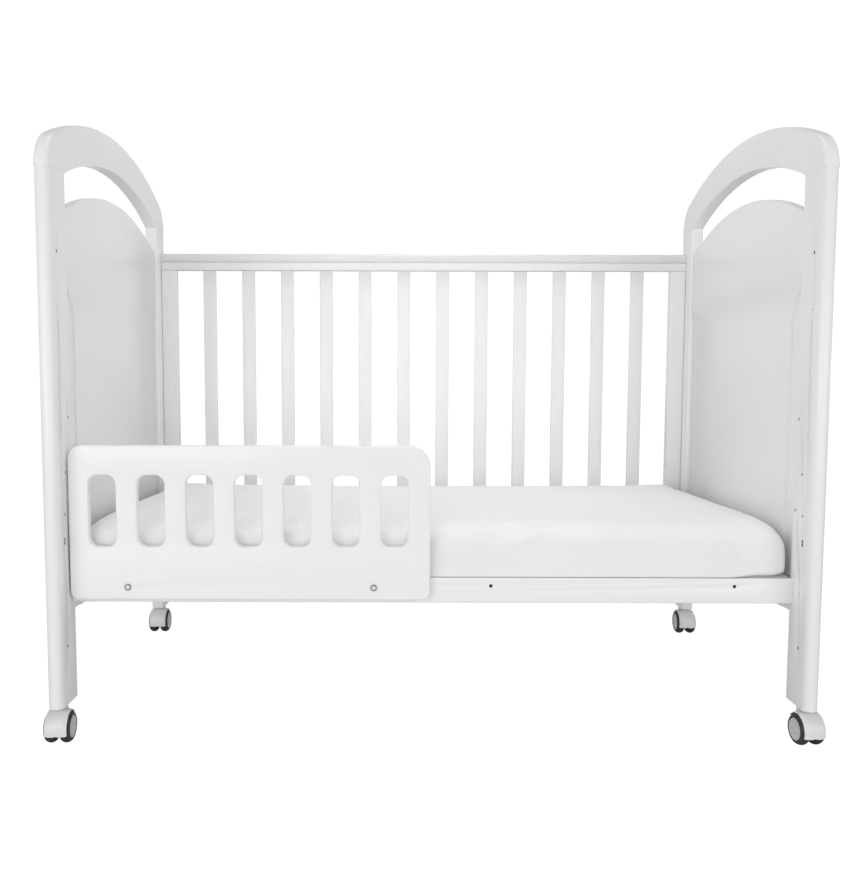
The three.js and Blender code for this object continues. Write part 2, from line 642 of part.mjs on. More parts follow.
// The caster's body in its own frame: stem axis at x = y = 0, floor at z = 0, axle ahead of the stem.
function casterHousing() {
  const half = HOOD_WIDTH / 2;
  const shoulder = HOOD_RADIUS - HOOD_SHOULDER_DROP;
  const ring = new THREE.LatheGeometry(
    [
      new THREE.Vector2(HOOD_INNER_RADIUS - 1.2, -half),
      new THREE.Vector2(shoulder - 1, -half),
      new THREE.Vector2(shoulder + 1.5, 3 - half),
      new THREE.Vector2(HOOD_RADIUS, 8 - half),
      new THREE.Vector2(HOOD_RADIUS, half - 8),
      new THREE.Vector2(shoulder + 1.5, half - 3),
      new THREE.Vector2(shoulder - 1, half),
      new THREE.Vector2(HOOD_INNER_RADIUS - 1.2, half),
      new THREE.Vector2(HOOD_INNER_RADIUS, half - 3),
      new THREE.Vector2(HOOD_INNER_RADIUS, 3 - half),
      new THREE.Vector2(HOOD_INNER_RADIUS - 1.2, -half),
    ],
    28,
  ).rotateZ(-Math.PI / 2);
  const sector = extrudeAlong(hoodSector(), -half - 5, half + 5);
  const halfWeb = WEB_THICKNESS / 2;
  const webDisc = pinAlongX(HOOD_INNER_RADIUS + 1, -halfWeb, halfWeb, 0, 0, 28);
  const webHub = pinAlongX(9, -halfWeb, halfWeb, 0, 0, 16);
  const web = toSolid(webDisc).intersect(toSolid(sector)).add(toSolid(webHub));
  const collarTop = POST_BOTTOM - 2 * GAP;
  const collar = pinAlongZ(COLLAR_DIAMETER / 2, 0, CASTER_TRAIL, 0, collarTop - WHEEL_RADIUS, 16);
  const outside = pinAlongX(HOOD_INNER_RADIUS + 1, -half, half, 0, 0, 28);
  const body = toSolid(ring)
    .intersect(toSolid(sector))
    .add(web)
    .add(toSolid(collar).subtract(toSolid(outside)))
    .subtract(toSolid(pinAlongX(AXLE_DIAMETER / 2 + GAP, -half, half, 0, 0)))
    .subtract(toSolid(pinAlongZ(STEM_DIAMETER / 2 + GAP, 0, CASTER_TRAIL, STEM_BOTTOM - GAP - WHEEL_RADIUS, 80, 12)));
  return fromSolid(body).translate(0, -CASTER_TRAIL, WHEEL_RADIUS);
}

function addCaster(parent, label, x, y, swivel) {
  add(parent, `${label}_caster_stem`, pinAlongZ(STEM_DIAMETER / 2, x, y, STEM_BOTTOM, STEM_TOP, 12), steel());
  const caster = new THREE.Group();
  caster.position.set(x, y, 0);
  caster.rotation.z = swivel;
  parent.add(caster);
  add(caster, `${label}_caster_hood`, casterHousing(), hoodPlastic());
  const axleHalf = WHEEL_OFFSET + WHEEL_WIDTH / 2 - 6;
  const axle = pinAlongX(AXLE_DIAMETER / 2, -axleHalf, axleHalf, -CASTER_TRAIL, WHEEL_RADIUS, 12);
  add(caster, `${label}_caster_axle`, axle, steel());
  for (const [side, name] of [[-1, 'left'], [1, 'right']]) {
    const geometry = wheel(side).translate(side * WHEEL_OFFSET, -CASTER_TRAIL, WHEEL_RADIUS);
    add(caster, `${label}_caster_${name}_wheel`, geometry, tyreRubber());
  }
}

// ---- the whole bed ------------------------------------------------------------------------------

const toddlerBed = new THREE.Group();
const bed = new THREE.Group();
toddlerBed.add(bed);

addEnd(bed, -1, 'left');
addEnd(bed, 1, 'right');
addRearSide(bed);
addBase(bed);
addMattress(bed);
addGuard(bed);

const STEM_X = HALF_INNER + POST_THICKNESS / 2;
addCaster(bed, 'front_left', -STEM_X, STEM_DEPTH, FRONT_LEFT_SWIVEL);
addCaster(bed, 'front_right', STEM_X, STEM_DEPTH, FRONT_RIGHT_SWIVEL);
addCaster(bed, 'rear_left', -STEM_X, REAR_STEM_DEPTH, 0);
addCaster(bed, 'rear_right', STEM_X, REAR_STEM_DEPTH, 0);

const extent = new THREE.Box3().setFromObject(bed, true);
bed.position.x = -(extent.min.x + extent.max.x) / 2;
bed.position.y = -(extent.min.y + extent.max.y) / 2;

export default toddlerBed;
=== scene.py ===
import json
import math

import bmesh
import bpy
from mathutils import Matrix, Vector, noise


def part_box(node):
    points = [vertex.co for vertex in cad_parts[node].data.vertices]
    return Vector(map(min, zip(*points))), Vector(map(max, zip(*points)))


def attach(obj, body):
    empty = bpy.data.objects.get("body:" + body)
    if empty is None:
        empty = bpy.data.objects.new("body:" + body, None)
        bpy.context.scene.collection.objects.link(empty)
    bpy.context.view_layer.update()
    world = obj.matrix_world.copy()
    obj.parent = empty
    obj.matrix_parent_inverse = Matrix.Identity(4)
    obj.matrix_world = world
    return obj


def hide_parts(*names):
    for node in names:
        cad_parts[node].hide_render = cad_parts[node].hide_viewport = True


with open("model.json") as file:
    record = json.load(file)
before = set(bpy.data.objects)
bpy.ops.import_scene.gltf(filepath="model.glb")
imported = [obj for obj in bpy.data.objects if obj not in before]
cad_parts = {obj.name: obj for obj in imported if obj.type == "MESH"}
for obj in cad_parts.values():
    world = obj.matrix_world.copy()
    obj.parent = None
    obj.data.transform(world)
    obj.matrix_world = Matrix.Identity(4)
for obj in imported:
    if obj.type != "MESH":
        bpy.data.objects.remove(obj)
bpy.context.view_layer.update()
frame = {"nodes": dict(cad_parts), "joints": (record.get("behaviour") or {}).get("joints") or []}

MM = 0.001
SCENE = bpy.context.scene
ROOT = SCENE.collection
CASTERS = ("front_left", "front_right", "rear_left", "rear_right")
SIDES = ("left", "right")


# ---- camera -------------------------------------------------------------------------------------

CAMERA_PLACE = (-0.0670, -1.9905, 0.6680)
CAMERA_PITCH = 4.669  # degrees below level
CAMERA_YAW = 0.105
CAMERA_ROLL = 0.139
CAMERA_LENS = 37.458
CAMERA_SHIFT = (0.0417, -0.0016)


def make_camera():
    data = bpy.data.cameras.new("camera")
    data.lens = CAMERA_LENS
    data.sensor_width = 36.0
    data.shift_x, data.shift_y = CAMERA_SHIFT
    data.clip_end = 50.0
    camera = bpy.data.objects.new("camera", data)
    ROOT.objects.link(camera)
    tilt = Matrix.Rotation(math.radians(90.0 - CAMERA_PITCH), 4, "X")
    roll = Matrix.Rotation(math.radians(CAMERA_ROLL), 4, "Z")
    turn = Matrix.Rotation(math.radians(CAMERA_YAW), 4, "Z")
    camera.matrix_world = Matrix.Translation(CAMERA_PLACE) @ turn @ tilt @ roll
    SCENE.camera = camera


# ---- node materials -----------------------------------------------------------------------------


class Shader:
    """A Principled material whose colour, roughness and bump come from procedural nodes."""

    def __init__(self, name, **constants):
        self.material = bpy.data.materials.new(name)
        self.material.use_nodes = True
        self.tree = self.material.node_tree
        self.bsdf = self.tree.nodes["Principled BSDF"]
        self.coords = self.node("ShaderNodeTexCoord")
        for socket, value in constants.items():
            self.bsdf.inputs[socket.replace("_", " ")].default_value = value

    def node(self, kind, **settings):
        made = self.tree.nodes.new(kind)
        for key, value in settings.items():
            setattr(made, key, value)
        return made

    def link(self, output, target):
        self.tree.links.new(output, target)

    def mapped(self, scale):
        """Object coordinates in metres, stretched by scale along each axis."""
        mapping = self.node("ShaderNodeMapping")
        mapping.inputs["Scale"].default_value = scale
        self.link(self.coords.outputs["Object"], mapping.inputs["Vector"])
        return mapping.outputs["Vector"]

    def noise(self, scale, stretch=(1, 1, 1), detail=3.0, distortion=0.0):
        made = self.node("ShaderNodeTexNoise")
        made.inputs["Scale"].default_value = scale
        made.inputs["Detail"].default_value = detail
        made.inputs["Distortion"].default_value = distortion
        self.link(self.mapped(stretch), made.inputs["Vector"])
        return made.outputs["Fac"]

    def wave(self, scale, direction, stretch=(1, 1, 1), distortion=0.0):
        made = self.node("ShaderNodeTexWave", bands_direction=direction)
        made.inputs["Scale"].default_value = scale
        made.inputs["Distortion"].default_value = distortion
        self.link(self.mapped(stretch), made.inputs["Vector"])
        return made.outputs["Fac"]

    def mix(self, factor, low, high):
        """A colour that runs from low to high with factor."""
        ramp = self.node("ShaderNodeMix", data_type="RGBA")
        ramp.inputs[6].default_value = (*low, 1.0)
        ramp.inputs[7].default_value = (*high, 1.0)
        self.link(factor, ramp.inputs[0])
        return ramp.outputs[2]

    def ranged(self, factor, low, high, start=0.0, stop=1.0):
        span = self.node("ShaderNodeMapRange")
        for index, value in enumerate((start, stop, low, high)):
            span.inputs[index + 1].default_value = value
        self.link(factor, span.inputs[0])
        return span.outputs[0]

    def combined(self, operation, first, second):
        made = self.node("ShaderNodeMath", operation=operation)
        for index, part in enumerate((first, second)):
            if isinstance(part, float):
                made.inputs[index].default_value = part
            else:
                self.link(part, made.inputs[index])
        return made.outputs[0]

    def colour(self, output):
        self.link(output, self.bsdf.inputs["Base Color"])

    def roughness(self, output):
        self.link(output, self.bsdf.inputs["Roughness"])

    def bump(self, height, distance, strength=1.0):
        made = self.node("ShaderNodeBump")
        made.inputs["Distance"].default_value = distance
        made.inputs["Strength"].default_value = strength
        self.link(height, made.inputs["Height"])
        self.link(made.outputs["Normal"], self.bsdf.inputs["Normal"])


def enamel(name, grain, tint=(0.90, 0.90, 0.90), gloss=0.34):
    """Sprayed white enamel over wood: faint orange peel, grain that telegraphs along one axis."""
    along = {"X": (1.2, 26, 26), "Y": (26, 1.2, 26), "Z": (26, 26, 1.2)}[grain]
    s = Shader(name, Coat_Weight=0.22, Coat_Roughness=0.16, Specular_IOR_Level=0.45)
    cloud = s.noise(3.5, detail=4.0)
    fibre = s.noise(9.0, along, detail=5.0, distortion=0.4)
    peel = s.noise(420.0, detail=1.5)
    low = tuple(c * 0.972 for c in tint)
    s.colour(s.mix(s.combined("MULTIPLY", cloud, fibre), tint, low))
    s.roughness(s.ranged(s.combined("ADD", cloud, peel), gloss - 0.07, gloss + 0.1, 0.6, 1.4))
    raised = s.combined("MULTIPLY", fibre, 1.6)
    pitted = s.combined("MULTIPLY", peel, 0.35)
    s.bump(s.combined("ADD", raised, pitted), 0.00022, 0.8)
    return s.material


def moulded(name, tint, gloss, texture_scale=900.0, depth=0.00006, **constants):
    """Injection-moulded plastic with a fine spark-eroded texture."""
    s = Shader(name, Specular_IOR_Level=0.5, **constants)
    grain = s.noise(texture_scale, detail=2.0)
    cloud = s.noise(14.0, detail=3.0)
    s.colour(s.mix(cloud, tint, tuple(c * 0.93 for c in tint)))
    s.roughness(s.ranged(s.combined("ADD", grain, cloud), gloss - 0.08, gloss + 0.1, 0.6, 1.4))
    s.bump(grain, depth)
    return s.material


def cotton_sheet():
    """Plain-woven white cotton with a soft nap."""
    s = Shader("cotton_sheet", Sheen_Weight=0.25, Sheen_Roughness=0.45, Specular_IOR_Level=0.2)
    warp = s.wave(900.0, "X", distortion=0.6)
    weft = s.wave(900.0, "Y", distortion=0.6)
    rise = s.wave(900.0, "Z", distortion=0.6)
    cloud = s.noise(5.0, detail=5.0)
    slub = s.noise(60.0, (1, 9, 9), detail=3.0)
    s.colour(s.mix(s.combined("MULTIPLY", cloud, slub), (0.93, 0.93, 0.93), (0.86, 0.86, 0.865)))
    s.roughness(s.ranged(slub, 0.82, 0.96))
    weave = s.combined("ADD", s.combined("ADD", warp, weft), rise)
    threads = s.combined("MULTIPLY", weave, 0.3)
    lumps = s.combined("MULTIPLY", slub, 0.7)
    s.bump(s.combined("ADD", threads, lumps), 0.0002, 0.7)
    return s.material


def ticking():
    """The mattress's own cover under the sheet: off-white twill."""
    s = Shader("mattress_ticking", Sheen_Weight=0.2, Specular_IOR_Level=0.2)
    twill = s.wave(420.0, "DIAGONAL", distortion=0.3)
    cloud = s.noise(7.0, detail=4.0)
    s.colour(s.mix(cloud, (0.84, 0.83, 0.81), (0.78, 0.77, 0.75)))
    s.roughness(s.ranged(cloud, 0.85, 0.97))
    s.bump(twill, 0.0002)
    return s.material


def rubber():
    """Black tyre rubber, a little scuffed and dusty on its tread."""
    s = Shader("tyre_rubber", Specular_IOR_Level=0.4)
    dust = s.noise(120.0, detail=6.0, distortion=0.6)
    pore = s.noise(1500.0, detail=2.0)
    dusty = s.ranged(dust, 0.0, 1.0, 0.45, 0.75)
    s.colour(s.mix(dusty, (0.028, 0.028, 0.029), (0.06, 0.059, 0.057)))
    s.roughness(s.ranged(dust, 0.42, 0.66))
    s.bump(pore, 0.00005)
    return s.material


def zinc(name, tint):
    """Plated steel with a brushed turn."""
    s = Shader(name, Metallic=1.0)
    brush = s.noise(260.0, (1, 14, 1), detail=4.0)
    cloud = s.noise(90.0, detail=3.0)
    s.colour(s.mix(cloud, tint, tuple(c * 0.8 for c in tint)))
    s.roughness(s.ranged(brush, 0.26, 0.46))
    s.bump(brush, 0.00003)
    return s.material


MATERIALS = {
    "wood_x": enamel("enamel_along_x", "X"),
    "wood_y": enamel("enamel_along_y", "Y"),
    "wood_z": enamel("enamel_along_z", "Z"),
    "cap": moulded("cap_strip_plastic", (0.86, 0.86, 0.86), 0.3, 500.0),
    "hood": moulded("hood_nylon", (0.80, 0.80, 0.80), 0.38),
    "hub": moulded("hub_plastic", (0.60, 0.60, 0.605), 0.36),
    "tyre": rubber(),
    "zinc": zinc("zinc_steel", (0.46, 0.46, 0.47)),
    "dark_steel": zinc("black_oxide_steel", (0.10, 0.10, 0.105)),
    "sheet": cotton_sheet(),
    "ticking": ticking(),
}


# ---- carried-over CAD nodes ---------------------------------------------------------------------

SMOOTH_BELOW = 32  # degrees between faces that shade as one surface
EASE_ABOVE = 40  # degrees between faces whose edge is eased
FLAT_BELOW = 0.4  # degrees between faces that are joined into one
WELD_WITHIN = 0.00002
EASED_EDGE = 1.2 * MM
POST_EDGE = 0.35 * MM
METAL_EDGE = 0.4 * MM
CAP_EDGE = 0.5 * MM
LONG_RAILS = ("rear_side_top_rail", "rear_side_bottom_rail", "front_base_rail", "rear_base_rail")


def smoothing_group():
    """A geometry group that shades smooth and keeps edges sharper than its angle."""
    group = bpy.data.node_groups.new("smooth_by_angle", "GeometryNodeTree")
    group.interface.new_socket("Geometry", in_out="INPUT", socket_type="NodeSocketGeometry")
    group.interface.new_socket("Geometry", in_out="OUTPUT", socket_type="NodeSocketGeometry")
    start = group.nodes.new("NodeGroupInput")
    end = group.nodes.new("NodeGroupOutput")
    faces = group.nodes.new("GeometryNodeSetShadeSmooth")
    edges = group.nodes.new("GeometryNodeSetShadeSmooth")
    edges.domain = "EDGE"
    angle = group.nodes.new("GeometryNodeInputMeshEdgeAngle")
    below = group.nodes.new("FunctionNodeCompare")
    below.operation = "LESS_THAN"
    below.inputs["B"].default_value = math.radians(SMOOTH_BELOW)
    group.links.new(angle.outputs["Unsigned Angle"], below.inputs["A"])
    group.links.new(below.outputs[0], edges.inputs["Shade Smooth"])
    group.links.new(start.outputs[0], faces.inputs[0])
    group.links.new(faces.outputs[0], edges.inputs[0])
    group.links.new(edges.outputs[0], end.inputs[0])
    return group


SMOOTHING = smoothing_group()


def smooth(obj):
    modifier = obj.modifiers.new("smooth_by_angle", "NODES")
    modifier.node_group = SMOOTHING


def paint(obj, material):
    obj.data.materials.clear()
    obj.data.materials.append(material)


def dress_node(name, material, edge=EASED_EDGE):
    """A CAD node keeps its shape and gets eased edges, smooth shading and a finished material."""
    node = frame["nodes"][name]
    paint(node, material)
    weld = node.modifiers.new("weld", "WELD")
    weld.merge_threshold = WELD_WITHIN
    flat = node.modifiers.new("flat", "DECIMATE")
    flat.decimate_type = "DISSOLVE"
    flat.angle_limit = math.radians(FLAT_BELOW)
    bevel = node.modifiers.new("eased_edges", "BEVEL")
    bevel.limit_method = "ANGLE"
    bevel.angle_limit = math.radians(EASE_ABOVE)
    bevel.width = edge
    bevel.segments = 2
    bevel.use_clamp_overlap = True
    smooth(node)


def dress_nodes():
    for side in SIDES:
        for post in (f"{side}_front_post", f"{side}_rear_post"):
            dress_node(post, MATERIALS["wood_z"], POST_EDGE)
        dress_node(f"{side}_base_rail", MATERIALS["wood_y"])
        dress_node(f"rear_side_{side}_stile", MATERIALS["wood_z"])
        dress_node(f"{side}_end_panel", MATERIALS["wood_z"])
    for name in frame["nodes"]:
        if name.startswith("rear_slat_"):
            dress_node(name, MATERIALS["wood_z"])
        elif name.startswith("base_slat_"):
            dress_node(name, MATERIALS["wood_y"])
        elif name.endswith(("_stem", "_axle")):
            dress_node(name, MATERIALS["zinc"], METAL_EDGE)
    for name in LONG_RAILS:
        dress_node(name, MATERIALS["wood_x"])
    dress_node("rear_side_cap", MATERIALS["cap"], CAP_EDGE)


# ---- mesh helpers -------------------------------------------------------------------------------


def new_piece(name, mesh, material, body):
    piece = bpy.data.objects.new(name, mesh)
    ROOT.objects.link(piece)
    paint(piece, material)
    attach(piece, body)
    return piece


def clean(bm, merge=0.00001):
    bmesh.ops.remove_doubles(bm, verts=bm.verts, dist=merge)
    bmesh.ops.recalc_face_normals(bm, faces=bm.faces)


def to_mesh(bm, name):
    mesh = bpy.data.meshes.new(name)
    bm.to_mesh(mesh)
    bm.free()
    return mesh


def place(bm, matrix):
    bmesh.ops.transform(bm, matrix=matrix, verts=bm.verts)


def arc(centre, radius, start, stop, steps):
    """Points on an arc, angles in degrees."""
    points = []
    for i in range(steps + 1):
        turn = math.radians(start + (stop - start) * i / steps)
        points.append((centre[0] + radius * math.cos(turn), centre[1] + radius * math.sin(turn)))
    return points


def rounded_rectangle(x0, x1, y0, y1, radii, steps=10):
    """Corner radii run anticlockwise from the lower left."""
    a, b, c, d = radii
    return (
        arc((x0 + a, y0 + a), a, 180, 270, steps)
        + arc((x1 - b, y0 + b), b, 270, 360, steps)
        + arc((x1 - c, y1 - c), c, 0, 90, steps)
        + arc((x0 + d, y1 - d), d, 90, 180, steps)
    )


def plate(name, loops, thickness, fillet, rings=4):
    """A plate with a rounded edge, from closed outlines in its plane, centred on that plane."""
    curve = bpy.data.curves.new(name, "CURVE")
    curve.dimensions = "2D"
    curve.fill_mode = "BOTH"
    curve.extrude = thickness / 2 - fillet
    curve.bevel_depth = fillet
    curve.bevel_resolution = rings
    curve.offset = -fillet
    for loop in loops:
        spline = curve.splines.new("POLY")
        spline.points.add(len(loop) - 1)
        for point, (u, v) in zip(spline.points, loop):
            point.co = (u, v, 0, 1)
        spline.use_cyclic_u = True
    holder = bpy.data.objects.new(name, curve)
    ROOT.objects.link(holder)
    graph = bpy.context.evaluated_depsgraph_get()
    bm = bmesh.new()
    flat = bpy.data.meshes.new_from_object(holder.evaluated_get(graph))
    bm.from_mesh(flat)
    bpy.data.objects.remove(holder)
    bpy.data.curves.remove(curve)
    bpy.data.meshes.remove(flat)
    clean(bm)
    return bm


def lathe(profile, segments=64):
    """A solid turned about the x axis from (along, radius) points; ends on the axis close it."""
    bm = bmesh.new()
    rings = []
    for along, radius in profile:
        if radius < 1e-7:
            rings.append([bm.verts.new((along, 0, 0))])
            continue
        ring = []
        for i in range(segments):
            turn = 2 * math.pi * i / segments
            ring.append(bm.verts.new((along, radius * math.cos(turn), radius * math.sin(turn))))
        rings.append(ring)
    for first, second in zip(rings, rings[1:]):
        for i in range(segments):
            j = (i + 1) % segments
            corners = ((first, i), (first, j), (second, j), (second, i))
            unique = list(dict.fromkeys(ring[k % len(ring)] for ring, k in corners))
            if len(unique) > 2:
                bm.faces.new(unique)
    bmesh.ops.recalc_face_normals(bm, faces=bm.faces)
    return bm


def round_profile(points, corners, steps=5):
    """Rounds the named corners, {index: radius}, of an open polyline of (along, radius) points."""
    rounded = []
    for i, point in enumerate(points):
        if i not in corners:
            rounded.append(point)
            continue
        here = Vector(point)
        back = Vector(points[i - 1]) - here
        ahead = Vector(points[i + 1]) - here
        reach = min(corners[i], back.length * 0.49, ahead.length * 0.49)
        start = here + back.normalized() * reach
        stop = here + ahead.normalized() * reach
        for k in range(steps + 1):
            t = k / steps
            blend = start * (1 - t) ** 2 + here * (2 * t * (1 - t)) + stop * t ** 2
            rounded.append(tuple(blend))
    return rounded


# ---- crest rails, panels and guard --------------------------------------------------------------

CREST_CROWN_RADIUS = 906 * MM
CREST_SHOULDER_RADIUS = 76 * MM
CREST_UNDERSIDE_SIDE = 1012.8 * MM
CREST_UNDERSIDE_MIDDLE = 1074 * MM
CREST_OUTER_FILLET = 9 * MM
CREST_INNER_FILLET = 1.6 * MM
CREST_STATIONS = 120
POST_WIDTH = 80 * MM
SEAM_CLOSING = 0.22 * MM  # the visible seam is tighter than the CAD's gap


def arch(half, side, middle, steps):
    """Points of a circular arch over -half to half, left to right."""
    rise = middle - side
    radius = (half * half + rise * rise) / (2 * rise)
    points = []
    for i in range(steps + 1):
        across = -half + 2 * half * i / steps
        points.append((across, middle - radius + math.sqrt(radius * radius - across * across)))
    return points


def crest_outer(half, seam, top):
    """The crest's outer line from the front seam to the rear one, as (across, up) points."""
    crown = top - CREST_CROWN_RADIUS
    reach = half - CREST_SHOULDER_RADIUS
    shoulder = crown + math.sqrt((CREST_CROWN_RADIUS - CREST_SHOULDER_RADIUS) ** 2 - reach ** 2)
    meeting = math.degrees(math.atan2(shoulder - crown, reach))
    start = math.degrees(math.asin((seam - shoulder) / CREST_SHOULDER_RADIUS))
    line = arc((-reach, shoulder), CREST_SHOULDER_RADIUS, 180 - start, 180 - meeting, 14)
    line += arc((0, crown), CREST_CROWN_RADIUS, 180 - meeting, meeting, 48)[1:-1]
    return line + arc((reach, shoulder), CREST_SHOULDER_RADIUS, meeting, start, 14)


def crest_inner(half, seam):
    """The underside's line, from the front post's inner edge over the arch to the rear post's."""
    side = half - POST_WIDTH
    line = arch(side, CREST_UNDERSIDE_SIDE, CREST_UNDERSIDE_MIDDLE, 70)
    return [(-side, seam)] + line + [(side, seam)]


def resample(line, count):
    """Points at even steps along a polyline."""
    lengths = [0.0]
    for a, b in zip(line, line[1:]):
        lengths.append(lengths[-1] + math.dist(a, b))
    points, k = [], 0
    for i in range(count):
        want = lengths[-1] * i / (count - 1)
        while k < len(line) - 2 and lengths[k + 1] < want:
            k += 1
        t = (want - lengths[k]) / (lengths[k + 1] - lengths[k])
        points.append(Vector((line[k][0] + (line[k + 1][0] - line[k][0]) * t,
                              line[k][1] + (line[k + 1][1] - line[k][1]) * t)))
    return points


def outward(points, i, sign):
    """The unit normal of a line of points at one of them."""
    ahead = points[min(i + 1, len(points) - 1)] - points[max(i - 1, 0)]
    return Vector((-ahead.y, ahead.x)).normalized() * sign


def crest_section(outer, inner, n_out, n_in, half_thick):
    """One rib of the crest as (x, across, up): a slab with a big outer and a small inner fillet."""
    ring = []
    for base, normal, fillet, steps, start in (
        (outer, n_out, CREST_OUTER_FILLET, 8, 1),
        (inner, n_in, CREST_INNER_FILLET, 3, -1),
    ):
        for corner in (start, -start):
            for i in range(steps + 1):
                t = i / steps if corner == start else 1 - i / steps
                turn = math.radians(90 * t)
                x = corner * (half_thick - fillet + fillet * math.cos(turn))
                drop = fillet * (1 - math.sin(turn))
                point = base - normal * drop
                ring.append((x, point.x, point.y))
    return ring


def crest_rail(side):
    node = f"{side}_crest_rail"
    low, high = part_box(node)
    low.z -= SEAM_CLOSING
    middle, half = (low.y + high.y) / 2, (high.y - low.y) / 2
    outer = resample(crest_outer(half, low.z, high.z), CREST_STATIONS)
    inner = resample(crest_inner(half, low.z), CREST_STATIONS)
    bm = bmesh.new()
    ribs = []
    for i in range(CREST_STATIONS):
        n_out, n_in = outward(outer, i, 1), outward(inner, i, -1)
        if i in (0, CREST_STATIONS - 1):
            n_out, n_in = Vector((-1 if i == 0 else 1, 0)), Vector((1 if i == 0 else -1, 0))
        ring = crest_section(outer[i], inner[i], n_out, n_in, (high.x - low.x) / 2)
        ribs.append([bm.verts.new(((low.x + high.x) / 2 + x, middle + y, z)) for x, y, z in ring])
    for first, second in zip(ribs, ribs[1:]):
        for k in range(len(first)):
            j = (k + 1) % len(first)
            bm.faces.new((first[k], first[j], second[j], second[k]))
    bm.faces.new(ribs[0])
    bm.faces.new(ribs[-1][::-1])
    bmesh.ops.recalc_face_normals(bm, faces=bm.faces)
    mesh = to_mesh(bm, node)
    piece = new_piece(f"{side}_crest", mesh, MATERIALS["wood_y"], "bed_frame")
    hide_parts(node)
    smooth(piece)


# ---- guard rail and small hardware --------------------------------------------------------------

GUARD_CORNERS = (15 * MM, 15 * MM, 38 * MM, 25 * MM)
GUARD_FILLET = 3.2 * MM
GUARD_SLOTS = 7
SLOT_FIRST = -592 * MM
SLOT_PITCH = 87.2 * MM
SLOT_WIDTH = 49 * MM
SLOT_LOW = 350 * MM
SLOT_HIGH = 479.5 * MM
SLOT_CORNER = 17 * MM
BOLTS = (-548 * MM, -106 * MM)
FREE_HOLES = (106 * MM, 548 * MM)
BOLT_HEIGHT = 277 * MM
BOLT_HOLE_RADIUS = 3.4 * MM
BOLT_HEAD_RADIUS = 6.4 * MM
BOLT_HEAD_HEIGHT = 3 * MM
BOLT_SHANK_RADIUS = 3 * MM
INSERT_RADIUS = 3.15 * MM
MIDDLE_X = (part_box("left_front_post")[0].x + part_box("right_front_post")[1].x) / 2


def guard_rail():
    low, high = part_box("guard_rail")
    loops = [rounded_rectangle(low.x, high.x, low.z, high.z, GUARD_CORNERS)]
    for i in range(GUARD_SLOTS):
        x = MIDDLE_X + SLOT_FIRST + i * SLOT_PITCH
        half = SLOT_WIDTH / 2
        loops.append(rounded_rectangle(x - half, x + half, SLOT_LOW, SLOT_HIGH, (SLOT_CORNER,) * 4))
    for x in BOLTS:
        loops.append(arc((MIDDLE_X + x, BOLT_HEIGHT), BOLT_HOLE_RADIUS, 0, 345, 23))
    bm = plate("guard", loops, high.y - low.y, GUARD_FILLET, 3)
    turn = Matrix(((1, 0, 0, 0), (0, 0, 1, (low.y + high.y) / 2), (0, 1, 0, 0), (0, 0, 0, 1)))
    place(bm, turn)
    bmesh.ops.recalc_face_normals(bm, faces=bm.faces)
    mesh = to_mesh(bm, "guard")
    piece = new_piece("guard", mesh, MATERIALS["wood_x"], "bed_frame")
    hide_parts("guard_rail")
    smooth(piece)


def along_y(x, y, z, towards=1):
    """Turns a lathed part's x axis onto +y or -y, at a place."""
    return Matrix.Translation((x, y, z)) @ Matrix.Rotation(towards * math.pi / 2, 4, "Z")


def guard_bolt(number, x):
    """A zinc button-head bolt with a white plastic cap pressed into its socket."""
    node = f"guard_bolt_{number}"
    low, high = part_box(node)
    length = high.y - low.y
    profile = [
        (0.9 * MM, 0),
        (0.9 * MM, 3.3 * MM),
        (0.05 * MM, 3.6 * MM),
        (0, 4.4 * MM),
        (1.0 * MM, 5.9 * MM),
        (BOLT_HEAD_HEIGHT, BOLT_HEAD_RADIUS),
        (BOLT_HEAD_HEIGHT, BOLT_SHANK_RADIUS),
        (length - 1 * MM, BOLT_SHANK_RADIUS),
        (length, 2.2 * MM),
        (length, 0),
    ]
    bm = lathe(round_profile(profile, {3: 0.5 * MM, 4: 0.8 * MM, 5: 0.6 * MM}), 48)
    place(bm, along_y(x, low.y, BOLT_HEIGHT))
    piece = new_piece(f"bolt_{number}", to_mesh(bm, "bolt"), MATERIALS["zinc"], "bed_frame")
    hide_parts(node)
    smooth(piece)
    face, back, rim = 0.35 * MM, 1.2 * MM, 3.1 * MM
    cap = lathe([(face, 0), (0.5 * MM, 2.4 * MM), (0.8 * MM, rim), (back, rim), (back, 0)], 40)
    place(cap, along_y(x, low.y, BOLT_HEIGHT))
    mesh = to_mesh(cap, "cap")
    lid = new_piece(f"bolt_{number}_cap", mesh, MATERIALS["cap"], "bed_frame")
    smooth(lid)


def free_hole_sleeve(number, x):
    """A dark steel insert sunk in one of the base rail's unused holes."""
    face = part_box("front_base_rail")[0].y
    profile = [
        (4 * MM, 0),
        (4 * MM, 1.5 * MM),
        (1.2 * MM, 1.6 * MM),
        (0.7 * MM, 2.0 * MM),
        (0.7 * MM, 2.9 * MM),
        (1.0 * MM, INSERT_RADIUS),
        (12 * MM, INSERT_RADIUS),
        (12 * MM, 0),
    ]
    sleeve = lathe(profile, 32)
    place(sleeve, along_y(x, face, BOLT_HEIGHT))
    mesh, steel = to_mesh(sleeve, "sleeve"), MATERIALS["dark_steel"]
    piece = new_piece(f"rail_insert_{number}", mesh, steel, "bed_frame")
    smooth(piece)


# Round sockets in the posts' inner faces, in mm: depth from the outer edge, height, radius.
FRONT_SOCKETS = ((30, 871.5, 3.4), (29, 774, 1.9), (67, 581, 2.9), (46, 484, 2.9), (68, 417, 2.9),
                 (37, 410, 2.9), (35, 171.5, 3.4))
REAR_SOCKETS = ((67, 581, 2.9),)
LONG_SOCKET = (34, 355, 369, 3.4)  # depth, bottom, top and radius of the slotted one
NUT_CLEARANCE = 0.25
LONG_NUT_CLEARANCE = 0.3


